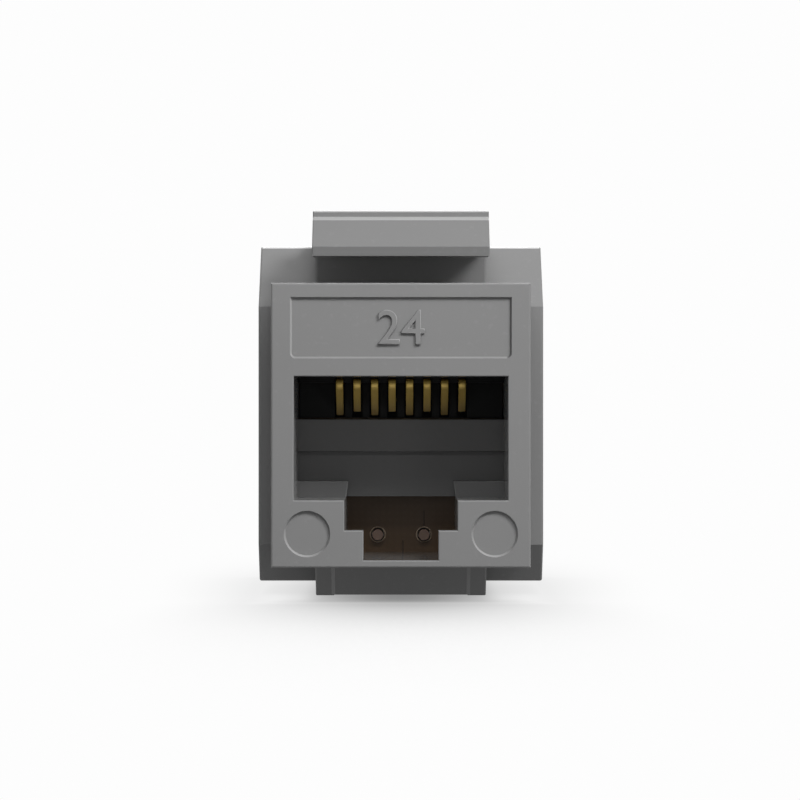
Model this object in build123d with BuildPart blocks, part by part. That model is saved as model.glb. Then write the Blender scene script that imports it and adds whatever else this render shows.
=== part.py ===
from build123d import *
import os
from math import cos, hypot, radians, sin, tan

os.makedirs("parts", exist_ok=True)

# Axes: origin in the middle of the front face, +Y runs into the jack, +Z is up, millimetres

# Front face and front block
face_width = 14.5
face_height = 15.9
panel_thickness = 1.6
shoulder_y = 8.0
hook_back_y = shoulder_y - panel_thickness
edge_round = 0.12
rim_round = 0.07
corner_round = 0.36
join = 0.5
face_top_z = face_height / 2
face_bottom_z = -face_height / 2

# Wide body behind the panel
body_width = 16.5
housing_length = 19.0
body_top_z = 10.47
body_bottom_z = -9.14
top_slope_start_z = 6.83
top_slope_end_y = 12.24
chin_slope_start_z = -6.96
chin_slope_end_y = 9.88
slope_round = 0.25

# Port for the plug
port_width = 11.97
port_top_z = 2.74
port_floor_z = -4.19
port_depth = 9.4
stop_lip_depth = 9.05
stop_lip_bottom_z = -1.6
stop_top_z = 0.31
stop_wall = 1.2
stop_groove_height = 0.18
stop_groove_depth = 0.4
tab_slot_width = 6.33
tab_slot_step_z = -5.87
tab_end_width = 4.19
tab_end_floor_z = -7.54
tab_catch_wall = 1.45
corner_step_y = 7.6
corner_step_height = 0.92
corner_step_lean = 0.14

# Label field and the two round marks on the face
label_width = 12.38
label_top_z = 7.17
label_bottom_z = 3.74
label_corner = 0.3
mark_depth = 0.2
mark_draft = 28
round_mark_radius = 1.3
round_mark_x = 5.24
round_mark_z = -6.06

# Pockets in the front housing
board_y = 12.2
board_thickness = 1.6
board_back_y = board_y + board_thickness
side_wall = 1.3
pocket_width = body_width - 2 * side_wall
pocket_bottom_z = -7.95
pocket_low_top_z = 7.15
pocket_high_top_z = 9.2
pocket_high_set_back = 0.4
pocket_high_y = board_back_y + pocket_high_set_back
carrier_pocket_y = 6.4
carrier_pocket_top_z = 6.75
core_floor_z = 4.0
core_front_y = 1.6
window_length = 1.8
window_back_wall = 1.6
window_back_y = housing_length - window_back_wall
window_front_y = window_back_y - window_length
window_bottom_z = -1.6
window_top_z = 3.6

# Latch arm and the neck that it is rooted in
neck_width = 9.94
neck_front_y = 9.7
neck_top_z = 11.2
neck_back_y = 12.2
neck_seat_z = 10.05
latch_width = 10.1
latch_axis_y = 10.45
latch_axis_z = 10.65
latch_knuckle_radius = 0.55
latch_knuckle_gap = 0.05
latch_nose_y = 3.7
latch_nose_z = 10.13
latch_lip_y = 3.82
latch_lip_z = 9.61
latch_ramp_end_y = 5.42
latch_ramp_end_z = 11.73
latch_crest_z = 11.91
latch_rim_y = 5.87
latch_rim_z = 12.28
latch_edge_round = 0.1
latch_side_chamfer = 0.05
latch_notch_z = 11.35
latch_stop_top_z = 12.0
latch_stop_length = 0.9
latch_underside_z = 10.3
latch_heel_reach = 0.2
latch_foot_set_back = 0.6

# Fixed hook under the front block and the two rails behind the panel
hook_width = 9.76
hook_leg_inside = 7.94
hook_recess = 0.14
hook_recess_draft = 55
hook_front_y = 4.3
hook_bottom_z = -9.77
hook_nose_y = 6.15
rail_inside = 7.74
rail_bottom_z = -9.89

# Contact springs
contact_count = 8
contact_pitch = 1.016
contact_width = 0.42
contact_thickness = 0.3
contact_front_y = 7.7
contact_run_z = 2.5
contact_bend_radius = 0.2
contact_lean = 35
contact_tip_y = 10.08
contact_short_tip_y = 9.78
contact_high_run_z = 4.4
contact_jog_y = 9.6
contact_jog_end_y = 10.7
contact_tail_reach = 0.6
contact_tail_y = board_back_y + contact_tail_reach

# Contact carrier
carrier_gap = 0.08
carrier_front_y = 6.5
carrier_under_z = 2.66
carrier_top_z = 5.2
carrier_groove_gap = 0.03
comb_front_y = 9.9
comb_back_wall = 0.3
comb_slot_width = 0.6
rib_front_y = 8.05
rib_bottom_z = 2.42

# Insulation displacement blades
tower_side_step = 1.05
tower_width = body_width - 2 * tower_side_step
tower_length = 8.5
flange_thickness = 2.0
flange_end_y = housing_length + flange_thickness
tower_end_y = flange_end_y + tower_length
blade_columns = 4
blade_pitch = tower_width / blade_columns
upper_row_z = 6.0
lower_row_z = -6.515
blade_width = 2.4
blade_thickness = 0.4
blade_set_back = 0.8
blade_front_y = board_back_y + blade_set_back
blade_depth = 2.5
blade_end_y = tower_end_y - blade_depth
blade_slit_width = 0.3
blade_slit_length = 4.6
blade_slit_y = blade_end_y - blade_slit_length
blade_mouth = 0.45
blade_pin_radius = 0.32
blade_pin_offset = 0.44
blade_pin_reach = 0.6
blade_pin_front_y = board_y - blade_pin_reach
blade_pin_overlap = 0.6
blade_pin_back_y = blade_front_y + blade_pin_overlap
blade_gap = 0.03
pin_relief_gap = 0.3
pin_relief_radius = 0.64

# Circuit board
board_gap = 0.05
contact_hole_radius = 0.31
pin_hole_radius = 0.38

# Terminal block
block_gap = 0.1
block_set_back = 0.15
block_front_y = board_back_y + block_set_back
tower_height = 5.2
wire_slot_width = 0.95
wire_slot_length = 6.5
wire_slot_y = tower_end_y - wire_slot_length
wire_slot_mouth = 0.45
tail_pocket_width = 11.2
tail_pocket_bottom_z = -4.6
tail_pocket_top_z = 5.0
tail_pocket_depth = 2.6
lug_length = 1.5
lug_height = 4.9
lug_reach = 1.1
lug_gap = 0.12

# Wire caps
cap_gap = 0.2
cap_plate_thickness = 1.2
cap_overhang = 0.4
cap_cheek_gap = 0.1
cap_cheek_set_back = 0.3
cap_cheek_front_y = flange_end_y + cap_cheek_set_back
cap_cheek_height = 4.0
cap_rib_width = 0.75
cap_rib_length = 4.9
cap_rib_front_y = tower_end_y - cap_rib_length
cap_rib_margin = 0.2
cap_rib_notch = 0.8
cap_rib_notch_gap = 0.6
cap_grip_count = 3
cap_grip_pitch = 1.3
cap_grip_height = 0.3
cap_grip_width = 0.5

# Derived values
half_contacts = (contact_count - 1) / 2
contact_xs = [(i - half_contacts) * contact_pitch for i in range(contact_count)]
half_columns = (blade_columns - 1) / 2
blade_xs = [(i - half_columns) * blade_pitch for i in range(blade_columns)]
blade_rows = [upper_row_z, lower_row_z]
lean = radians(contact_lean)
bend_y = contact_front_y + contact_thickness / 2 + contact_bend_radius
bend_z = contact_run_z - contact_bend_radius
leg_start_y = bend_y - contact_bend_radius * sin(lean)
leg_start_z = bend_z - contact_bend_radius * cos(lean)
apex_y = leg_start_y - (contact_run_z - leg_start_z) / tan(lean)


def across(y):
    """Plane facing the front at depth y, drawn in X and Z."""
    return Plane.XZ.offset(-y)


def span(low, high):
    return (low + high) / 2


def pin_x(x):
    return x - blade_pin_offset if x > 0 else x + blade_pin_offset


# Front block, with its rounded face
with BuildPart() as front_block:
    with BuildSketch(across(0)):
        Rectangle(face_width, face_height)
    extrude(amount=-(shoulder_y + join))
    fillet(front_block.faces().sort_by(Axis.Y)[0].edges(), edge_round)

# Neck that carries the latch
with BuildPart() as neck:
    with BuildSketch(Plane.YZ):
        with BuildLine():
            Polyline(
                (neck_front_y, face_top_z - join),
                (neck_front_y, neck_seat_z),
                (latch_axis_y, neck_seat_z),
                (latch_axis_y, neck_top_z),
                (neck_back_y, neck_top_z),
                (neck_back_y + neck_top_z - body_top_z, body_top_z),
                (neck_back_y + neck_top_z - body_top_z, face_top_z - join),
                close=True,
            )
        make_face()
        with Locations((latch_axis_y, latch_axis_z)):
            Circle(latch_knuckle_radius + latch_knuckle_gap, mode=Mode.SUBTRACT)
    extrude(amount=neck_width / 2, both=True)
    fillet(neck.edges().filter_by(Axis.Z).sort_by(Axis.Y)[0:2], edge_round)

# Hook under the front block, hollowed between its two legs
with BuildPart() as hook:
    with BuildSketch(Plane.YZ):
        with BuildLine():
            Polyline(
                (hook_front_y, face_bottom_z + join),
                (hook_front_y, face_bottom_z),
                (hook_nose_y, hook_bottom_z),
                (hook_back_y, hook_bottom_z),
                (hook_back_y, face_bottom_z + join),
                close=True,
            )
        make_face()
    extrude(amount=hook_width / 2, both=True)
    fillet(hook.edges().group_by(Axis.X)[-1].filter_by(Axis.Z, reverse=True).sort_by(Axis.Y)[0], edge_round)
    fillet(hook.edges().group_by(Axis.X)[0].filter_by(Axis.Z, reverse=True).sort_by(Axis.Y)[0], edge_round)
    ramp_rise = face_bottom_z - hook_bottom_z
    ramp_run = hook_nose_y - hook_front_y
    ramp_plane = Plane(origin=(0, hook_front_y, face_bottom_z), x_dir=(1, 0, 0), z_dir=(0, -ramp_rise, -ramp_run))
    with BuildSketch(ramp_plane):
        Rectangle(hook_leg_inside, 4 * ramp_rise)
    extrude(amount=-hook_recess, taper=hook_recess_draft, mode=Mode.SUBTRACT)

# Front housing
with BuildPart() as front_housing:
    with BuildSketch(Plane.YZ) as body_side:
        with BuildLine():
            Polyline(
                (shoulder_y, chin_slope_start_z),
                (shoulder_y, top_slope_start_z),
                (top_slope_end_y, body_top_z),
                (housing_length, body_top_z),
                (housing_length, body_bottom_z),
                (chin_slope_end_y, body_bottom_z),
                close=True,
            )
        make_face()
        fillet(body_side.vertices().group_by(Axis.Y)[-1].sort_by(Axis.X)[0], slope_round)
        fillet(body_side.vertices().group_by(Axis.Y)[0].sort_by(Axis.X)[0], slope_round)
    extrude(amount=body_width / 2, both=True)
    fillet(front_housing.faces().sort_by(Axis.X)[-1].edges(), edge_round)
    fillet(front_housing.faces().sort_by(Axis.X)[0].edges(), edge_round)
    add(front_block.part)
    add(neck.part)
    add(hook.part)

    # Rails behind the panel
    rail_width = (hook_width - rail_inside) / 2
    rail_x = (hook_width + rail_inside) / 4
    with BuildSketch(across(shoulder_y)):
        with Locations((-rail_x, span(rail_bottom_z, face_bottom_z)), (rail_x, span(rail_bottom_z, face_bottom_z))):
            Rectangle(rail_width, face_bottom_z - rail_bottom_z)
    extrude(amount=-(housing_length - shoulder_y))

    # Port, with the space over the stop wall left open to the carrier
    with BuildSketch(across(0)):
        with Locations((0, span(port_floor_z, port_top_z))):
            Rectangle(port_width, port_top_z - port_floor_z)
    extrude(amount=-port_depth, mode=Mode.SUBTRACT)
    with BuildSketch(across(stop_lip_depth)):
        with Locations((0, span(stop_lip_bottom_z, stop_top_z))):
            Rectangle(port_width, stop_top_z - stop_lip_bottom_z)
    extrude(amount=-(port_depth - stop_lip_depth))
    with BuildSketch(across(stop_lip_depth)):
        with Locations((0, stop_lip_bottom_z - stop_groove_height / 2)):
            Rectangle(port_width, stop_groove_height)
    extrude(amount=-(port_depth + stop_groove_depth - stop_lip_depth), mode=Mode.SUBTRACT)
    with BuildSketch(across(0)):
        with Locations((0, span(stop_top_z, port_top_z))):
            Rectangle(port_width, port_top_z - stop_top_z)
    extrude(amount=-board_y, mode=Mode.SUBTRACT)
    with BuildSketch(across(port_depth + stop_wall)):
        with Locations((0, span(port_floor_z, stop_top_z))):
            Rectangle(port_width, stop_top_z - port_floor_z)
    extrude(amount=-(board_y - port_depth - stop_wall), mode=Mode.SUBTRACT)

    # Slot for the plug's tab, wider behind the wall that catches the tab
    with BuildSketch(across(0)):
        with Locations((0, span(tab_slot_step_z, port_floor_z))):
            Rectangle(tab_slot_width, port_floor_z - tab_slot_step_z)
        with Locations((0, span(tab_end_floor_z, tab_slot_step_z))):
            Rectangle(tab_end_width, tab_slot_step_z - tab_end_floor_z)
    extrude(amount=-board_y, mode=Mode.SUBTRACT)
    with BuildSketch(across(tab_catch_wall)):
        with Locations((0, span(tab_end_floor_z, port_floor_z))):
            Rectangle(tab_slot_width, port_floor_z - tab_end_floor_z)
    extrude(amount=-(board_y - tab_catch_wall), mode=Mode.SUBTRACT)

    # Steps in the lower corners, against the plug's chamfered nose
    corner_top_z = port_floor_z + corner_step_height
    with BuildSketch(across(corner_step_y)) as corner_steps:
        with BuildLine():
            Polyline(
                (port_width / 2, port_floor_z),
                (tab_slot_width / 2, port_floor_z),
                (tab_slot_width / 2 - corner_step_lean, corner_top_z),
                (port_width / 2, corner_top_z),
                close=True,
            )
        make_face()
        mirror(about=Plane.YZ)
    extrude(amount=-(port_depth - corner_step_y))
    flat_fronts = front_housing.faces().filter_by(Axis.Y)
    step_fronts = flat_fronts.filter_by_position(Axis.Y, corner_step_y - rim_round, corner_step_y + rim_round)
    lip_fronts = flat_fronts.filter_by_position(Axis.Y, stop_lip_depth - rim_round, stop_lip_depth + rim_round)
    step_tops = [f.edges().filter_by(Axis.X).sort_by(Axis.Z)[-1] for f in step_fronts]
    step_sides = [f.edges().filter_by(Axis.X, reverse=True).sort_by(lambda e: abs(e.center().X))[0] for f in step_fronts]
    lip_edges = [e for f in lip_fronts for e in f.edges().filter_by(Axis.X)]
    fillet(step_tops + step_sides + lip_edges, rim_round)

    # Pockets for the carrier, the board and the terminal block
    with BuildSketch(across(carrier_pocket_y)):
        with Locations((0, span(port_top_z - edge_round, carrier_pocket_top_z))):
            Rectangle(port_width, carrier_pocket_top_z - port_top_z + edge_round)
    extrude(amount=-(board_y - carrier_pocket_y), mode=Mode.SUBTRACT)
    with BuildSketch(across(core_front_y)):
        with Locations((0, span(core_floor_z, carrier_pocket_top_z))):
            Rectangle(port_width, carrier_pocket_top_z - core_floor_z)
    extrude(amount=-(carrier_pocket_y - core_front_y), mode=Mode.SUBTRACT)
    with BuildSketch(across(board_y)):
        with Locations((0, span(pocket_bottom_z, pocket_low_top_z))):
            Rectangle(pocket_width, pocket_low_top_z - pocket_bottom_z)
    extrude(amount=-(housing_length - board_y), mode=Mode.SUBTRACT)
    with BuildSketch(across(pocket_high_y)):
        with Locations((0, span(pocket_low_top_z, pocket_high_top_z))):
            Rectangle(pocket_width, pocket_high_top_z - pocket_low_top_z)
    extrude(amount=-(housing_length - pocket_high_y), mode=Mode.SUBTRACT)

    # Relief for the outer pins of the lower row
    with BuildSketch(across(blade_pin_front_y - pin_relief_gap)):
        with Locations((pin_x(blade_xs[0]), lower_row_z), (pin_x(blade_xs[-1]), lower_row_z)):
            Circle(pin_relief_radius)
    extrude(amount=-(blade_pin_reach + pin_relief_gap), mode=Mode.SUBTRACT)

    # Windows that the terminal block's lugs snap into
    with BuildSketch(Plane.YZ):
        with Locations((span(window_front_y, window_back_y), span(window_bottom_z, window_top_z))):
            Rectangle(window_back_y - window_front_y, window_top_z - window_bottom_z)
    extrude(amount=body_width, both=True, mode=Mode.SUBTRACT)

    # Label field and round marks in the face
    with BuildSketch(across(0)) as label_field:
        with Locations((0, span(label_bottom_z, label_top_z))):
            Rectangle(label_width, label_top_z - label_bottom_z)
        fillet(label_field.vertices().group_by(Axis.Y)[0], label_corner)
        with Locations((-round_mark_x, round_mark_z), (round_mark_x, round_mark_z)):
            Circle(round_mark_radius)
    extrude(amount=-mark_depth, taper=mark_draft, mode=Mode.SUBTRACT)
    fillet(front_housing.faces().sort_by(Axis.Y)[0].inner_wires().sort_by(SortBy.LENGTH)[-1].edges(), rim_round)

front_housing.part.label = "front_housing"
export_step(front_housing.part, "parts/front_housing.step")

# Latch arm, drawn from the side
with BuildPart() as latch:
    with BuildSketch(Plane.YZ) as latch_side:
        with BuildLine():
            Polyline(
                (latch_lip_y, latch_lip_z),
                (latch_nose_y, latch_nose_z),
                (latch_ramp_end_y, latch_ramp_end_z),
                (latch_rim_y, latch_crest_z),
                (latch_rim_y, latch_rim_z),
                (hook_back_y, latch_rim_z),
                (hook_back_y, latch_notch_z),
                (shoulder_y, latch_notch_z),
                (shoulder_y, latch_stop_top_z),
                (shoulder_y + latch_stop_length, latch_stop_top_z),
                (latch_axis_y - latch_knuckle_radius, latch_axis_z + latch_knuckle_radius),
                (latch_axis_y, latch_axis_z + latch_knuckle_radius),
                (latch_axis_y, latch_axis_z - latch_knuckle_radius),
                (latch_axis_y - latch_knuckle_radius, latch_underside_z),
                (hook_back_y + latch_heel_reach, latch_underside_z),
                (hook_back_y - latch_foot_set_back, latch_lip_z),
                close=True,
            )
        make_face()
        fillet(latch_side.vertices().sort_by_distance((latch_rim_y, latch_rim_z))[0], latch_edge_round)
        with Locations((latch_axis_y, latch_axis_z)):
            Circle(latch_knuckle_radius)
    extrude(amount=latch_width / 2, both=True)
    chamfer(latch.faces().group_by(Axis.X)[-1].edges(), latch_side_chamfer)
    chamfer(latch.faces().group_by(Axis.X)[0].edges(), latch_side_chamfer)

latch.part.label = "latch"
export_step(latch.part, "parts/latch.step")

# Contacts: one bent strip each, long and short ones by turns
contacts = []
for i, x in enumerate(contact_xs):
    is_high = i % 2 == 1
    tip_y = contact_short_tip_y if is_high else contact_tip_y
    tip = (tip_y, leg_start_z - (tip_y - leg_start_y) * tan(lean))
    low_tail = [(contact_tail_y, contact_run_z)]
    high_tail = [
        (contact_tail_y, contact_high_run_z),
        (contact_jog_end_y, contact_high_run_z),
        (contact_jog_y, contact_run_z),
    ]
    tail = high_tail if is_high else low_tail
    with BuildPart() as contact:
        with BuildLine(Plane.YZ.offset(x)) as wire:
            FilletPolyline(*tail, (apex_y, contact_run_z), tip, radius=contact_bend_radius)
        with BuildSketch(Plane(origin=wire.line @ 0, x_dir=(1, 0, 0), z_dir=wire.line % 0)):
            Rectangle(contact_width, contact_thickness)
        sweep(path=wire.line)
    contact.part.label = f"contact_{i + 1}"
    export_step(contact.part, f"parts/contact_{i + 1}.step")
    contacts.append(contact)

# Contact carrier, grooved for the strips and combed for their tips
with BuildPart() as contact_carrier:
    carrier_width = port_width - 2 * carrier_gap
    carrier_back_y = board_y - board_gap
    with BuildSketch(across(carrier_front_y)):
        with Locations((0, span(carrier_under_z, carrier_top_z))):
            Rectangle(carrier_width, carrier_top_z - carrier_under_z)
    extrude(amount=-(carrier_back_y - carrier_front_y))
    with BuildSketch(across(comb_front_y)):
        with Locations((0, span(stop_top_z + carrier_gap, carrier_under_z))):
            Rectangle(carrier_width, carrier_under_z - stop_top_z - carrier_gap)
    extrude(amount=-(carrier_back_y - comb_front_y))
    with BuildSketch(across(0)):
        with Locations(*[(x, span(stop_top_z, carrier_under_z)) for x in contact_xs]):
            Rectangle(comb_slot_width, carrier_under_z - stop_top_z)
    extrude(amount=-(carrier_back_y - comb_back_wall), mode=Mode.SUBTRACT)
    with BuildSketch(across(rib_front_y)):
        with Locations((0, span(rib_bottom_z, carrier_under_z))):
            Rectangle(carrier_width, carrier_under_z - rib_bottom_z)
    extrude(amount=-(carrier_back_y - rib_front_y))
    groove_top_z = contact_run_z + contact_thickness / 2 + carrier_groove_gap
    groove_bottom_z = contact_run_z - contact_thickness / 2 - carrier_groove_gap
    groove_width = contact_width + 2 * carrier_groove_gap
    with BuildSketch(across(0)):
        with Locations(*[(x, span(groove_bottom_z, groove_top_z)) for x in contact_xs]):
            Rectangle(groove_width, groove_top_z - groove_bottom_z)
    extrude(amount=-board_y, mode=Mode.SUBTRACT)
    high_top_z = contact_high_run_z + contact_thickness / 2 + carrier_groove_gap
    with BuildSketch(across(contact_jog_y - contact_bend_radius)):
        with Locations(*[(x, span(contact_run_z, high_top_z)) for x in contact_xs[1::2]]):
            Rectangle(groove_width, high_top_z - contact_run_z)
    extrude(amount=-board_y, mode=Mode.SUBTRACT)

contact_carrier.part.label = "contact_carrier"
export_step(contact_carrier.part, "parts/contact_carrier.step")

# Circuit board with a hole for each tail and pin
with BuildPart() as circuit_board:
    with BuildSketch(across(board_y)):
        with Locations((0, span(pocket_bottom_z, pocket_low_top_z))):
            Rectangle(pocket_width - 2 * board_gap, pocket_low_top_z - pocket_bottom_z - 2 * board_gap)
        with Locations(*[(x, contact_run_z) for x in contact_xs[0::2]]):
            Circle(contact_hole_radius, mode=Mode.SUBTRACT)
        with Locations(*[(x, contact_high_run_z) for x in contact_xs[1::2]]):
            Circle(contact_hole_radius, mode=Mode.SUBTRACT)
        with Locations(*[(pin_x(x), z) for z in blade_rows for x in blade_xs]):
            Circle(pin_hole_radius, mode=Mode.SUBTRACT)
    extrude(amount=-board_thickness)

circuit_board.part.label = "circuit_board"
export_step(circuit_board.part, "parts/circuit_board.step")

# Forked blades, each with a round pin in the board
blades = []
for row, row_z in enumerate(blade_rows):
    for column, x in enumerate(blade_xs):
        with BuildPart() as blade:
            with BuildSketch(Plane.XY.offset(row_z)) as blade_plate:
                with Locations((x, span(blade_front_y, blade_end_y))):
                    Rectangle(blade_width, blade_end_y - blade_front_y)
                with Locations((x, span(blade_slit_y, blade_end_y))):
                    Rectangle(blade_slit_width, blade_end_y - blade_slit_y, mode=Mode.SUBTRACT)
                with BuildLine():
                    Polyline(
                        (x, blade_end_y - 2 * blade_mouth),
                        (x + blade_mouth, blade_end_y),
                        (x - blade_mouth, blade_end_y),
                        close=True,
                    )
                make_face(mode=Mode.SUBTRACT)
            extrude(amount=blade_thickness / 2, both=True)
            with BuildSketch(across(blade_pin_front_y)):
                with Locations((pin_x(x), row_z)):
                    Circle(blade_pin_radius)
            extrude(amount=-(blade_pin_back_y - blade_pin_front_y))
        number = row * blade_columns + column + 1
        blade.part.label = f"idc_blade_{number}"
        export_step(blade.part, f"parts/idc_blade_{number}.step")
        blades.append(blade)

# Terminal block
with BuildPart() as terminal_block:
    frame_width = pocket_width - 2 * block_gap
    frame_bottom_z = pocket_bottom_z + block_gap
    frame_top_z = pocket_high_top_z - block_gap
    low_frame_top_z = pocket_low_top_z - block_gap
    with BuildSketch(across(block_front_y)):
        with Locations((0, span(frame_bottom_z, low_frame_top_z))):
            Rectangle(frame_width, low_frame_top_z - frame_bottom_z)
    extrude(amount=-(housing_length - block_front_y))
    with BuildSketch(across(pocket_high_y + block_gap)):
        with Locations((0, span(low_frame_top_z, frame_top_z))):
            Rectangle(frame_width, frame_top_z - low_frame_top_z)
    extrude(amount=-(housing_length - pocket_high_y - block_gap))

    # Flange that closes the housing, and the rows of towers
    with BuildSketch(across(housing_length)) as flange_face:
        with Locations((0, span(body_bottom_z, body_top_z))):
            Rectangle(body_width, body_top_z - body_bottom_z)
        fillet(flange_face.vertices(), corner_round)
    extrude(amount=-flange_thickness)
    with BuildSketch(across(housing_length)):
        with Locations((-rail_x, span(rail_bottom_z, face_bottom_z)), (rail_x, span(rail_bottom_z, face_bottom_z))):
            Rectangle(rail_width, face_bottom_z - rail_bottom_z)
    extrude(amount=-flange_thickness)
    with BuildSketch(across(flange_end_y)):
        with Locations((0, upper_row_z), (0, lower_row_z)):
            Rectangle(tower_width, tower_height)
    extrude(amount=-(tower_end_y - flange_end_y))

    # Wire slots, with a wide mouth
    for x in blade_xs:
        with BuildSketch(Plane.XY.offset(lower_row_z - tower_height)) as wire_slot:
            with Locations((x, span(wire_slot_y, tower_end_y))):
                Rectangle(wire_slot_width, tower_end_y - wire_slot_y)
            with BuildLine():
                Polyline(
                    (x, tower_end_y - wire_slot_width / 2 - wire_slot_mouth),
                    (x + wire_slot_width / 2 + wire_slot_mouth, tower_end_y),
                    (x - wire_slot_width / 2 - wire_slot_mouth, tower_end_y),
                    close=True,
                )
            make_face()
        extrude(amount=upper_row_z - lower_row_z + 2 * tower_height, mode=Mode.SUBTRACT)

    # Slits that hold the blades, open to the front
    with BuildSketch(across(block_front_y)):
        with Locations(*[(x, z) for z in blade_rows for x in blade_xs]):
            Rectangle(blade_width + 2 * blade_gap, blade_thickness + 2 * blade_gap)
    extrude(amount=-(blade_end_y + 4 * blade_gap - block_front_y), mode=Mode.SUBTRACT)
    with BuildSketch(across(block_front_y)):
        with Locations(*[(pin_x(x), z) for z in blade_rows for x in blade_xs]):
            Circle(blade_pin_radius + 2 * blade_gap)
    extrude(amount=-(blade_pin_back_y + 2 * blade_gap - block_front_y), mode=Mode.SUBTRACT)

    # Room for the contacts' soldered tails
    with BuildSketch(across(block_front_y)):
        with Locations((0, span(tail_pocket_bottom_z, tail_pocket_top_z))):
            Rectangle(tail_pocket_width, tail_pocket_top_z - tail_pocket_bottom_z)
    extrude(amount=-tail_pocket_depth, mode=Mode.SUBTRACT)

    # Lugs that snap into the housing's windows
    lug_back_y = window_back_y - lug_gap
    for side in (-1, 1):
        with BuildSketch(Plane.XY.offset(span(window_bottom_z, window_top_z))):
            with BuildLine():
                Polyline(
                    (side * (frame_width / 2 - block_gap), lug_back_y - lug_length),
                    (side * frame_width / 2, lug_back_y - lug_length),
                    (side * (frame_width / 2 + lug_reach), lug_back_y - lug_gap),
                    (side * (frame_width / 2 + lug_reach), lug_back_y),
                    (side * (frame_width / 2 - block_gap), lug_back_y),
                    close=True,
                )
            make_face()
        extrude(amount=lug_height / 2, both=True)

terminal_block.part.label = "terminal_block"
export_step(terminal_block.part, "parts/terminal_block.step")

# Wire caps, one for each row
for name, row_z, out in (("upper_wire_cap", upper_row_z, 1), ("lower_wire_cap", lower_row_z, -1)):
    cap_front_y = tower_end_y + cap_gap
    cap_height = tower_height + 2 * cap_overhang
    cheek_x = (tower_width / 2 + cap_cheek_gap + body_width / 2) / 2
    cheek_width = body_width / 2 - tower_width / 2 - cap_cheek_gap
    with BuildPart() as cap:
        with BuildSketch(across(cap_front_y)) as cap_plate:
            with Locations((0, row_z)):
                Rectangle(body_width, cap_height)
            fillet(cap_plate.vertices(), corner_round)
        extrude(amount=-cap_plate_thickness)
        with BuildSketch(across(cap_cheek_front_y)):
            with Locations((-cheek_x, row_z), (cheek_x, row_z)):
                Rectangle(cheek_width, cap_cheek_height)
        extrude(amount=-(cap_front_y - cap_cheek_front_y))
        with BuildSketch(across(cap_rib_front_y)):
            with Locations(*[(x, row_z) for x in blade_xs]):
                Rectangle(cap_rib_width, tower_height - 2 * cap_rib_margin)
        extrude(amount=-(cap_front_y - cap_rib_front_y))
        with BuildSketch(across(cap_rib_front_y)):
            with Locations(*[(x, row_z) for x in blade_xs]):
                Rectangle(cap_rib_width, cap_rib_notch)
        extrude(amount=-(blade_end_y + cap_rib_notch_gap - cap_rib_front_y), mode=Mode.SUBTRACT)
        with BuildSketch(across(cap_front_y + cap_plate_thickness)):
            with GridLocations(0, cap_grip_pitch, 1, cap_grip_count):
                with Locations((0, row_z)):
                    Rectangle(body_width / 2, cap_grip_width)
        extrude(amount=-cap_grip_height)
    cap.part.label = name
    export_step(cap.part, f"parts/{name}.step")
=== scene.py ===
import bpy, bmesh, math
from mathutils import Matrix, Vector


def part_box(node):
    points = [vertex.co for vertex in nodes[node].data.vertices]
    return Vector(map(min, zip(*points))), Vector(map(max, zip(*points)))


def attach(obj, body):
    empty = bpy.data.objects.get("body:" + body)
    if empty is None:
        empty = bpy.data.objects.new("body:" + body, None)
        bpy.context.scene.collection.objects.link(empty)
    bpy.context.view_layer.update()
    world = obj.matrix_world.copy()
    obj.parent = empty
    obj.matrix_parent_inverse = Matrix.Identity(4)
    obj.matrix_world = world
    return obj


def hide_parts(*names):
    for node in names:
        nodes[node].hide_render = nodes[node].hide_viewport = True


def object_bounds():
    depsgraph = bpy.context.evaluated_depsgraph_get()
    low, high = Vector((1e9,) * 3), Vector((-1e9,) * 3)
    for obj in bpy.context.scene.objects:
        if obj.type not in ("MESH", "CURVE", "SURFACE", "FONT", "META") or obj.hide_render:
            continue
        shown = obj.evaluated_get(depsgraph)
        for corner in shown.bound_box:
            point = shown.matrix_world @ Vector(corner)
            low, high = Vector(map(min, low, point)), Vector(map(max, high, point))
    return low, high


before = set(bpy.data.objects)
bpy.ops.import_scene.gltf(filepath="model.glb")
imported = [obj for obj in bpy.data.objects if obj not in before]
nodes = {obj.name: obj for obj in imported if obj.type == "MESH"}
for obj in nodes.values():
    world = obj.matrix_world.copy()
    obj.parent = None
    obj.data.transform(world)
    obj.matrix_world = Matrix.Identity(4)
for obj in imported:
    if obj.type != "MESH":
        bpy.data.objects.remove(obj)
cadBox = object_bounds()
mm = 0.001
print("frame loaded:", len(nodes), "nodes")

# camera at the photograph's angle and distance, level and square to the face
photoCamera = {"distance": 210 * mm, "height": 1.42 * mm, "side": -0.05 * mm, "lens": 169.34}

cameraData = bpy.data.cameras.new("camera")
cameraData.lens = photoCamera["lens"]
cameraData.sensor_width = 36
cameraData.clip_start = 0.01
camera = bpy.data.objects.new("camera", cameraData)
camera.location = (photoCamera["side"], -photoCamera["distance"], photoCamera["height"])
camera.rotation_euler = (math.radians(90), 0, 0)
bpy.context.scene.collection.objects.link(camera)
bpy.context.scene.camera = camera
bpy.context.scene.view_settings.view_transform = "Standard"
print("camera placed")


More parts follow.
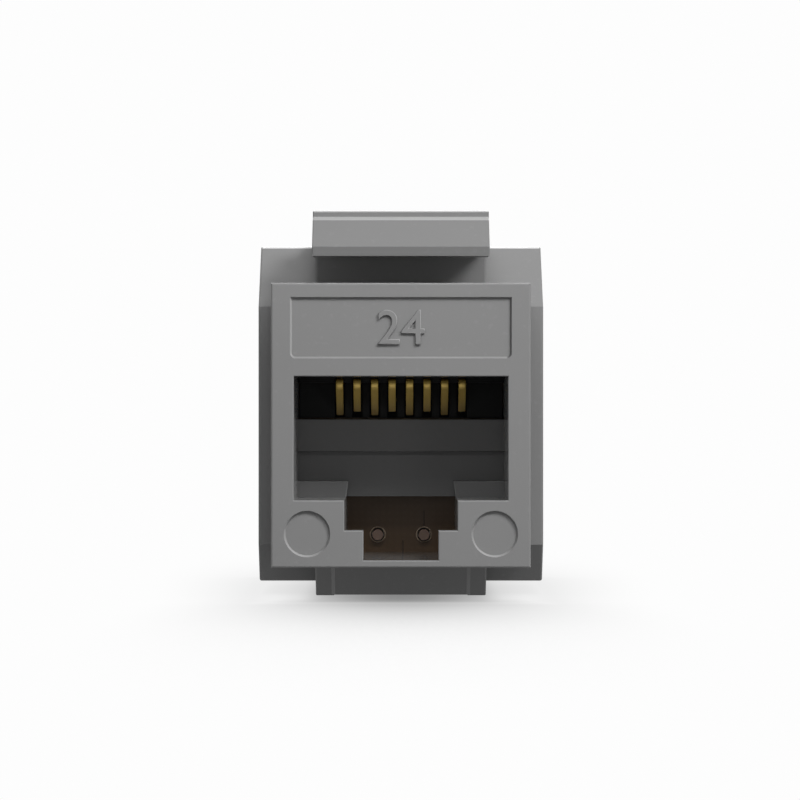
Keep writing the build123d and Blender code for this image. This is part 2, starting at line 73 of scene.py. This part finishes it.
class Wire:  # one socket of a material; sums on it add Math nodes
    def __init__(self, tree, socket=None):
        self.tree = tree
        self.socket = socket

    def make(self, kind, settings=None, values=None, out=0):
        made = self.tree.nodes.new("ShaderNode" + kind)
        for name, setting in (settings or {}).items():
            setattr(made, name, setting)
        for name, value in (values or {}).items():
            if isinstance(value, Wire):
                self.tree.links.new(value.socket, made.inputs[name])
            else:
                made.inputs[name].default_value = value
        return Wire(self.tree, made.outputs[out] if made.outputs else None)

    def math(self, operation, other=0.0, swap=False):
        pair = (other, self) if swap else (self, other)
        return self.make("Math", {"operation": operation}, {0: pair[0], 1: pair[1]})

    def __add__(self, other): return self.math("ADD", other)
    def __radd__(self, other): return self.math("ADD", other)
    def __sub__(self, other): return self.math("SUBTRACT", other)
    def __rsub__(self, other): return self.math("SUBTRACT", other, True)
    def __mul__(self, other): return self.math("MULTIPLY", other)
    def __rmul__(self, other): return self.math("MULTIPLY", other)
    def __truediv__(self, other): return self.math("DIVIDE", other)
    def __pow__(self, other): return self.math("POWER", other)
    def __abs__(self): return self.math("ABSOLUTE")
    def __gt__(self, other): return self.math("GREATER_THAN", other)
    def __lt__(self, other): return self.math("LESS_THAN", other)


def startMaterial(name):
    material = bpy.data.materials.new(name)
    material.use_nodes = True
    material.node_tree.nodes.clear()
    place = Wire(material.node_tree).make("TexCoord", out="Object")
    return material, place


def endMaterial(place, surface):
    place.make("OutputMaterial", {}, {"Surface": place.make("BsdfPrincipled", {}, surface)})


def axisOf(place, letter):
    return place.make("SeparateXYZ", {}, {0: place}, letter)


def noiseAt(place, scale, detail=2.0, roughness=0.5):
    return place.make("TexNoise", {}, {"Vector": place, "Scale": scale, "Detail": detail, "Roughness": roughness})


def rise(value, low, high):  # 0 below low, 1 above high, smooth between
    return value.make("MapRange", {"interpolation_type": "SMOOTHSTEP"}, {0: value, 1: low, 2: high, 3: 0.0, 4: 1.0})


def between(value, low, high):  # 1 from low to high, in millimetres, and 0 outside
    return (value > low * mm) * (value < high * mm)


def most(*masks):  # the strongest of some masks
    total = masks[0]
    for mask in masks[1:]:
        total = total.math("MAXIMUM", mask)
    return total


def tint(mask, under, over):
    return mask.make("Mix", {"data_type": "RGBA"}, {0: mask, 6: under, 7: over}, 2)


def grey(level, warm=0.0):
    return (level * (1 + warm), level, level * (1 - warm), 1)


def bumps(height, distance, strength=1.0, under=None):
    values = {"Height": height, "Distance": distance, "Strength": strength}
    if under is not None:
        values["Normal"] = under
    return height.make("Bump", {}, values)


# places on the housing and the latch where highlights are painted on edges, fillets and the crest, and where small
# faces get painted shade, in millimetres, and how far
paintedLightLook = {"level": 0.56, "shade": 0.6, "reliefDepth": (0.003, 0.19), "reliefX": 7.0, "reliefZ": 7.7, "labelFrom": 3.5,
           "relief": 0.12, "label": 0.28, "marks": 0.2, "marksBelow": -4.6, "marksBeside": 3.8,
           "faceTopZ": (7.72, 7.96), "faceTopY": 0.2, "faceTop": 0.6,
           "crestY": (5.4, 5.885), "crestZ": (11.71, 11.93), "crest": 0.52,
           "rimY": (5.86, 6.0), "rimFrom": 12.19, "rim": 0.6,
           "bodyY": (12.0, 12.5), "bodyZ": (10.34, 10.37), "bodyTo": 10.5,
           "legY": (4.2, 6.35), "legX": 4.4, "legBelow": -7.93, "leg": 0.3}
# the port's inside, formed by a polished core: painted shade on its back wall and floor and painted light on its side
# walls, by the way they face, and its polish
portShadeAndPolish = {"x": 6.02, "z": (-7.58, 2.76), "from": 0.22, "backShade": 0.72, "sideLight": 1.6, "floorShade": 0.93, "polish": 0.32,
            "slotBelow": -7.4, "slotPolish": 0.08}


def paintedLightMasks(place, outward, look):  # painted highlights on edges, fillets and the latch crest, stronger where they face up or right, and painted shade on small faces turned from the lamps
    x, y, z = (axisOf(place, letter) for letter in "XYZ")
    turnX, turnY, turnZ = (axisOf(outward, letter) for letter in "XYZ")
    facing, upward, inLabel = abs(turnY), rise(turnZ, 0.2, 0.7), z > look["labelFrom"] * mm
    relief = (1 - rise(facing, 0.93, 0.985)) * between(y, *look["reliefDepth"])
    relief = relief * (abs(z) < look["reliefZ"] * mm) * (abs(x) < look["reliefX"] * mm)
    faceTop = between(z, *look["faceTopZ"]) * (y < look["faceTopY"] * mm) * upward
    paintedShade = most(relief * (turnX < -0.2) * inLabel, faceTop * look["faceTop"])
    inMarks = (z < look["marksBelow"] * mm) * (abs(x) > look["marksBeside"] * mm)
    edgeHighlight = relief * (look["relief"] + look["label"] * inLabel + look["marks"] * inMarks)
    edgeHighlight = edgeHighlight * rise(turnX * 0.7 + turnZ * 0.7, -0.3, 0.75) * (1 - 0.6 * upward * inLabel)
    crest = between(y, *look["crestY"]) * between(z, *look["crestZ"])
    rim = between(y, *look["rimY"]) * (z > look["rimFrom"] * mm) * (1 - rise(facing, 0.97, 0.999))
    bodyLow, bodyHigh = look["bodyZ"]
    bodyTop = between(y, *look["bodyY"]) * rise(z, bodyLow * mm, bodyHigh * mm)
    bodyTop = bodyTop * (z < look["bodyTo"] * mm) * (abs(turnX) < 0.5)
    legEdge = (z < look["legBelow"] * mm) * between(y, *look["legY"]) * (abs(x) < look["legX"] * mm)
    legEdge = legEdge * rise(abs(turnX), 0.3, 0.5)
    paintedHighlight = most(edgeHighlight, crest * look["crest"], rim * look["rim"], bodyTop, legEdge * look["leg"])
    return paintedHighlight, paintedShade


# satin moulded plastic: tone drifts a little, a fine spark-eroded grain, dull scuffs on the proud edges; on the
# housing face also painted highlights and painted shade
finishLook = {"drift": 170, "driftTone": 0.035, "driftRise": 0.02 * mm, "driftShine": 0.1, "speck": 0.31, "speckShare": 0.25,
              "speckTone": 1.25, "scuff": 620, "scuffFrom": 0.56, "scuffTo": 0.72, "scuffShine": 0.05, "wearTone": 1.6,
              "wearShine": 0.08, "faceEdgeX": (7.05 * mm, 7.25 * mm), "faceEdgeZ": (7.75 * mm, 7.95 * mm), "faceDepth": 0.16 * mm}


def mouldedPlastic(name, look):
    material, place = startMaterial(name)
    x, y, z = (axisOf(place, letter) for letter in "XYZ")
    tone, warm = look["tone"], look.get("warm", 0.0)
    finish = finishLook
    drift = noiseAt(place, finish["drift"], 3, 0.55)
    grain = noiseAt(place, look["grain"], 2, 0.6)
    speck = noiseAt(place, look["grain"] * finish["speck"], 1)
    scuff = rise(noiseAt(place, finish["scuff"], 5, 0.65), finish["scuffFrom"], finish["scuffTo"])
    if look.get("face"):
        edge = most(rise(abs(z), *finish["faceEdgeZ"]), rise(abs(x), *finish["faceEdgeX"])) * (y < finish["faceDepth"])
    else:
        edge = rise(abs(x), look["edgeX"] * 0.972, look["edgeX"])
    wear = edge * (0.35 + 0.65 * scuff)
    base = tint(drift, grey(tone * (1 - finish["driftTone"]), warm), grey(tone * (1 + finish["driftTone"]), warm))
    base = tint(rise(speck, 0.62, 0.8) * finish["speckShare"], base, grey(tone * finish["speckTone"], warm))
    base = tint(wear * look["wear"], base, grey(tone * finish["wearTone"], warm))
    shine = look["roughness"] + (drift - 0.5) * finish["driftShine"] + wear * finish["wearShine"] + scuff * finish["scuffShine"]
    if look.get("face"):
        outward = place.make("TexCoord", out="Normal")
        # painted highlights on the face's edges and painted shade on its small faces, mixed into the colour
        paintedHighlight, paintedShade = paintedLightMasks(place, outward, paintedLightLook)
        base = tint(paintedHighlight, base, grey(paintedLightLook["level"], warm))
        base = tint(paintedShade, base, grey(tone * paintedLightLook["shade"], warm))
        # painted shade and painted light on the port's walls by the way they face; the polish below is real
        inPort = (abs(x) < portShadeAndPolish["x"] * mm) * between(z, *portShadeAndPolish["z"]) * (y > portShadeAndPolish["from"] * mm)
        for letter, share in (("Y", "backShade"), ("X", "sideLight"), ("Z", "floorShade")):
            base = tint(inPort * abs(axisOf(outward, letter)), base, grey(tone * portShadeAndPolish[share], warm))
        inSlot = inPort * (z < portShadeAndPolish["slotBelow"] * mm)
        shine = shine - inPort * portShadeAndPolish["polish"] - inSlot * portShadeAndPolish["slotPolish"]
    normal = bumps(grain, look["grainDepth"], 0.8, bumps(drift, finish["driftRise"], 0.35))
    endMaterial(place, {"Base Color": base, "Roughness": shine, "Normal": normal, "Specular IOR Level": look["gloss"]})
    return material


housingLook = {"tone": 0.208, "roughness": 0.46, "gloss": 0.2, "grain": 9000, "grainDepth": 0.004 * mm, "wear": 0.12,
               "face": True}
latchLook = {**housingLook, "tone": 0.19}
carrierLook = {"tone": 0.015, "roughness": 0.42, "gloss": 0.07, "grain": 7000, "grainDepth": 0.004 * mm, "edgeX": 5.9 * mm,
               "wear": 0.1}
blockLook = {"tone": 0.055, "roughness": 0.44, "gloss": 0.4, "grain": 8000, "grainDepth": 0.005 * mm, "edgeX": 8.25 * mm,
             "wear": 0.3}
capLook = {"tone": 0.19, "roughness": 0.42, "gloss": 0.42, "grain": 8500, "grainDepth": 0.004 * mm, "edgeX": 8.25 * mm,
           "wear": 0.3}
housingPlastic = mouldedPlastic("housingPlastic", housingLook)
latchPlastic = mouldedPlastic("latchPlastic", latchLook)
carrierPlastic = mouldedPlastic("carrierPlastic", carrierLook)
blockPlastic = mouldedPlastic("blockPlastic", blockLook)
capPlastic = mouldedPlastic("capPlastic", capLook)


# glass cloth laminate under a thin lacquer, with the tracks showing as low ridges
boardLook = {"lacquer": (0.116, 0.070, 0.036, 1), "cloth": (0.126, 0.077, 0.041, 1), "track": (0.05, 0.032, 0.022, 1),
             "cell": 0.42 * mm, "weave": 0.008 * mm, "roughness": 0.36, "gloss": 0.25, "coat": 0.08, "coatRoughness": 0.2,
             "upperTrackX": 1.36 * mm, "lowerTrackX": 0.12 * mm, "trackHalf": 0.035 * mm, "trackRise": 0.035 * mm,
             "trackSplit": -6.9 * mm, "trackTop": -5.1 * mm, "trackDepth": 0.6}


def laminate(look):
    material, place = startMaterial("boardLaminate")
    x, z = axisOf(place, "X"), axisOf(place, "Z")
    warp = ((x * (math.pi / look["cell"])).math("SINE")) ** 2
    weft = ((z * (math.pi / look["cell"])).math("SINE")) ** 2
    cloth = warp * weft
    drift = noiseAt(place, 420, 3)
    above = rise(z, look["trackSplit"], look["trackSplit"] + 0.05 * mm)
    upper, lower = (1 - rise(abs(x - look[key]), look["trackHalf"], look["trackHalf"] * 1.35)
                    for key in ("upperTrackX", "lowerTrackX"))
    track = most(upper * above * (z < look["trackTop"]), lower * (1 - above))
    base = tint(cloth * (0.55 + 0.45 * drift), look["lacquer"], look["cloth"])
    base = tint(track * look["trackDepth"], base, look["track"])
    normal = bumps(cloth, look["weave"], 0.3, bumps(track, look["trackRise"], 0.9))
    endMaterial(place, {"Base Color": base, "Roughness": look["roughness"] + 0.12 * drift, "Normal": normal,
                        "Specular IOR Level": look["gloss"], "Coat Weight": look["coat"],
                        "Coat Roughness": look["coatRoughness"]})
    return material


boardLaminate = laminate(boardLook)


# plated metal: rolling lines along the strip, small patches where the plating is thin
def platedMetal(name, look):
    material, place = startMaterial(name)
    y, z = axisOf(place, "Y"), axisOf(place, "Z")
    stretch = place.make("Mapping", {}, {"Vector": place, "Scale": look["lines"]})
    lines = noiseAt(stretch, 1.0, 4, 0.7)
    patch = rise(noiseAt(place, 900, 4, 0.6), 0.5, 0.75)
    base = tint(lines, look["dark"], look["light"])
    base = tint(patch * look["patch"], base, look["worn"])
    shine = look["roughness"] + 0.16 * lines + 0.1 * patch
    normal = bumps(lines, 0.004 * mm, 0.5)
    metal = look["metal"]
    if look.get("dullTip"):  # painted shade on the strip above the bend, where the port's ceiling shades it; towards the free tips the colour turns a greyer brown
        base = tint(rise(z, *look["bendShadeZ"]), base, look["bendShade"])
        base = tint((1 - rise(z, *look["tipZ"])) * look["dullTip"], base, look["tip"])
    if look.get("coated"):  # the pins' ends lie under the board's lacquer
        coat = y < look["coated"]
        base = tint(coat, base, look["coat"])
        metal = metal * (1 - coat)
    endMaterial(place, {"Base Color": base, "Metallic": metal, "Roughness": shine, "Normal": normal})
    return material


# gold: the darker colour above the bend is painted shade
goldLook = {"metal": 0.32, "dark": (1.0, 0.68, 0.16, 1), "light": (1.0, 0.74, 0.22, 1), "worn": (0.95, 0.66, 0.22, 1),
            "patch": 0.25, "roughness": 0.4, "lines": (26000, 900, 900), "dullTip": 0.5, "tip": (0.66, 0.50, 0.32, 1),
            "tipZ": (0.3 * mm, 1.9 * mm), "bendShade": (0.6, 0.36, 0.06, 1), "bendShadeZ": (2.45 * mm, 2.6 * mm)}
tinLook = {"metal": 1.0, "dark": (0.52, 0.51, 0.49, 1), "light": (0.68, 0.67, 0.65, 1), "worn": (0.44, 0.42, 0.39, 1),
           "patch": 0.3, "roughness": 0.3, "lines": (14000, 900, 14000), "coated": 12.2 * mm, "coat": (0.235, 0.15, 0.11, 1)}
ringTone = {"tone": 0.46, "roughness": 0.3, "gloss": 0.5, "grain": 7000, "grainDepth": 0.003 * mm, "edgeX": 8 * mm,
            "wear": 0.1, "warm": 0.25}
contactGold = platedMetal("contactGold", goldLook)
bladeTin = platedMetal("bladeTin", tinLook)
ringLacquer = mouldedPlastic("ringLacquer", ringTone)
print("materials made")

nodeMaterials = {"front_housing": housingPlastic, "latch": latchPlastic, "contact_carrier": carrierPlastic,
                 "circuit_board": boardLaminate, "terminal_block": blockPlastic, "upper_wire_cap": capPlastic,
                 "lower_wire_cap": capPlastic}
wireNumbers = range(1, 9)  # eight contacts and eight blades
for number in wireNumbers:
    nodeMaterials[f"contact_{number}"] = contactGold
    nodeMaterials[f"idc_blade_{number}"] = bladeTin
for name, node in nodes.items():
    node.data.materials.clear()
    node.data.materials.append(nodeMaterials[name])
print("nodes dressed")


def makePiece(name, shape, material, body):
    bmesh.ops.recalc_face_normals(shape, faces=shape.faces)
    mesh = bpy.data.meshes.new(name)
    shape.to_mesh(mesh)
    shape.free()
    mesh.materials.append(material)
    piece = bpy.data.objects.new(name, mesh)
    bpy.context.scene.collection.objects.link(piece)
    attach(piece, body)
    return piece


# contact strips with their stamped edges rolled over
stripEdge = {"round": 0.045 * mm, "segments": 2, "sharp": 50, "merge": 0.002 * mm, "flat": 0.5, "smoothUnder": 0.02 * mm * mm}
for number in wireNumbers:
    source = nodes[f"contact_{number}"]
    strip = bmesh.new()
    strip.from_mesh(source.data)
    bmesh.ops.remove_doubles(strip, verts=strip.verts, dist=stripEdge["merge"])
    bmesh.ops.dissolve_limit(strip, angle_limit=math.radians(stripEdge["flat"]), verts=strip.verts, edges=strip.edges)
    corners = [e for e in strip.edges if e.calc_face_angle(0) > math.radians(stripEdge["sharp"])]
    bmesh.ops.bevel(strip, geom=corners, offset=stripEdge["round"], affect="EDGES", segments=stripEdge["segments"],
                    profile=0.5, material=-1)
    for face in strip.faces:
        face.smooth = face.calc_area() < stripEdge["smoothUnder"]
    piece = makePiece(f"contact_strip_{number}", strip, contactGold, "housing")
    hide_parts(f"contact_{number}")
print("contact strips rolled")


# raised rings round the blades' pins, on the front of the board
ringLook = {"outer": 0.475 * mm, "inner": 0.405 * mm, "rise": 0.09 * mm, "sink": 0.02 * mm, "edge": 0.018 * mm,
            "pinAside": 0.44 * mm, "steps": 36}
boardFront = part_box("circuit_board")[0].y
rings = bmesh.new()
for number in wireNumbers:
    low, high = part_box(f"idc_blade_{number}")
    middleX = (low.x + high.x) / 2
    pinX = middleX - math.copysign(ringLook["pinAside"], middleX)
    pinZ = (low.z + high.z) / 2
    outer, inner, edge = ringLook["outer"], ringLook["inner"], ringLook["edge"]
    foot, crest = boardFront + ringLook["sink"], boardFront - ringLook["rise"]
    profile = [(outer, foot), (outer, crest + edge), (outer - edge, crest), (inner + edge, crest), (inner, crest + edge),
               (inner, foot)]
    ring = [rings.verts.new((pinX + radius, depth, pinZ)) for radius, depth in profile]
    edges = [rings.edges.new(pair) for pair in zip(ring, ring[1:] + ring[:1])]
    bmesh.ops.spin(rings, geom=ring + edges, cent=(pinX, boardFront, pinZ), axis=(0, 1, 0), angle=math.tau,
                   steps=ringLook["steps"], use_merge=True)
for face in rings.faces:
    face.smooth = True
makePiece("pin_rings", rings, ringLacquer, "housing")
print("pins ringed")


# raised port number in the label field
numberLook = {"text": "24", "height": 2.0 * mm, "capHeight": 0.73, "middleZ": 5.36 * mm, "foot": 0.23 * mm, "top": 0.07 * mm,
              "edge": 0.045 * mm, "steps": 8}


def raisedNumber(look):
    curve = bpy.data.curves.new("port_number", "FONT")
    curve.body = look["text"]
    curve.align_x = "CENTER"
    curve.align_y = "CENTER"
    curve.size = look["height"] / look["capHeight"]
    curve.extrude = (look["foot"] - look["top"]) / 2
    curve.bevel_depth = look["edge"]
    curve.offset = -look["edge"] * 0.5
    curve.bevel_resolution = 2
    curve.resolution_u = look["steps"]
    raw = bpy.data.objects.new("numberCurve", curve)
    bpy.context.scene.collection.objects.link(raw)
    bpy.context.view_layer.update()
    mesh = bpy.data.meshes.new_from_object(raw.evaluated_get(bpy.context.evaluated_depsgraph_get()))
    bpy.data.objects.remove(raw)
    shape = bmesh.new()
    shape.from_mesh(mesh)
    bmesh.ops.remove_doubles(shape, verts=shape.verts, dist=0.001 * mm)
    bmesh.ops.transform(shape, matrix=Matrix.Rotation(math.radians(90), 4, "X"), verts=shape.verts)
    middle = (look["foot"] + look["top"]) / 2
    bmesh.ops.translate(shape, vec=(0, middle, look["middleZ"]), verts=shape.verts)
    return shape


makePiece("port_number", raisedNumber(numberLook), housingPlastic, "housing")
print("number raised")


def seenDirectly(start):  # 1 where the camera, a reflection or a clear body shows the surface, 0 where it only lights
    rays = ("Is Camera Ray", "Is Transmission Ray", "Is Glossy Ray")
    return most(*(start.make("LightPath", {}, {}, ray) for ray in rays))


# floor: white to the eye, with a contact shadow painted into its glow from ambient occlusion and shaped by position,
# and a weaker bounce on the jack
floorLook = {"size": 3.0, "drop": 0.01 * mm, "white": 0.983, "bounce": 0.23, "reach": 68 * mm, "samples": 24,
             "lean": (0.0, 0.75, 0.66), "deepest": 0.23, "fadeX": 12 * mm, "spread": 2.2 * mm, "widen": 0.1,
             "fadeY": 100 * mm, "front": (-3 * mm, 5 * mm), "beside": (6.5 * mm, 9 * mm), "legs": (4.4 * mm, 6 * mm),
             "lighter": 0.25, "power": 0.9, "softPower": 0.42}


def makeFloor(look):
    shape = bmesh.new()
    bmesh.ops.create_grid(shape, x_segments=1, y_segments=1, size=look["size"] / 2)
    bmesh.ops.translate(shape, vec=(0, 0, cadBox[0][2] - look["drop"]), verts=shape.verts)
    mesh = bpy.data.meshes.new("floor")
    shape.to_mesh(mesh)
    shape.free()
    floor = bpy.data.objects.new("floor", mesh)
    bpy.context.scene.collection.objects.link(floor)
    material = bpy.data.materials.new("paleFloor")
    material.use_nodes = True
    material.node_tree.nodes.clear()
    start = Wire(material.node_tree)
    openSky = start.make("AmbientOcclusion", {"samples": look["samples"]},
                         {"Distance": look["reach"], "Normal": look["lean"]}, "AO")
    place = start.make("TexCoord", out="Object")
    depth, across = axisOf(place, "Y"), abs(axisOf(place, "X"))
    ahead = 1 - rise(depth, *look["front"])  # before the front face, where the floor lies open
    soft = most(ahead, rise(across, *look["beside"]))
    deep = 1 - look["deepest"] - look["lighter"] * rise(across, *look["legs"]) * (1 - ahead)
    sideways = across / (look["fadeX"] + look["spread"] * soft + look["widen"] * abs(depth))
    away = (sideways ** 2 + (depth / look["fadeY"]) ** 2) ** 0.5
    shade = (1 - openSky) ** (look["power"] - look["softPower"] * soft) * (1 - rise(away, 0.0, 1.0)) * deep
    seen = start.make("Emission", {}, {"Color": (1, 1, 1, 1), "Strength": look["white"] * (1 - shade)})
    lit = start.make("Emission", {}, {"Color": (1, 1, 1, 1), "Strength": look["bounce"]})
    both = start.make("MixShader", {}, {0: seenDirectly(start), 1: lit, 2: seen})
    start.make("OutputMaterial", {}, {"Surface": both})
    mesh.materials.append(material)


makeFloor(floorLook)

# studio: an even dome, white to the eye, and four round lamps; a level of 1 lights a surface that faces it to its own colour
skyLook = {"seen": 0.983, "light": 0.33}
world = bpy.data.worlds.new("studio")
bpy.context.scene.world = world
world.use_nodes = True
world.node_tree.nodes.clear()
sky = Wire(world.node_tree)
brightness = skyLook["light"] + (skyLook["seen"] - skyLook["light"]) * seenDirectly(sky)
dome = sky.make("Background", {}, {"Color": (1, 1, 1, 1), "Strength": brightness})
sky.make("OutputWorld", {}, {"Surface": dome})

lamps = {
    "keyLamp": {"towards": (0.5, -0.6, 0.62), "away": 0.17, "size": 0.06, "level": 0.71},
    "topLamp": {"towards": (0.0, -0.72, 0.68), "away": 0.08, "size": 0.03, "level": 0.38},
    "lowLamp": {"towards": (0.5, -0.86, -0.08), "away": 0.3, "size": 0.08, "level": 0.12},
    "rimLamp": {"towards": (0.0, 0.73, 0.67), "away": 0.20, "size": 0.06, "level": 0.6},
}
for name, look in lamps.items():
    lamp = bpy.data.lights.new(name, "AREA")
    lamp.shape = "DISK"
    lamp.size = look["size"]
    lamp.energy = look["level"] * math.pi * math.pi * look["away"] ** 2
    holder = bpy.data.objects.new(name, lamp)
    direction = Vector(look["towards"]).normalized()
    holder.location = direction * look["away"]
    holder.rotation_euler = direction.to_track_quat("Z", "Y").to_euler()
    holder.visible_camera = False
    bpy.context.scene.collection.objects.link(holder)
print("studio lit")
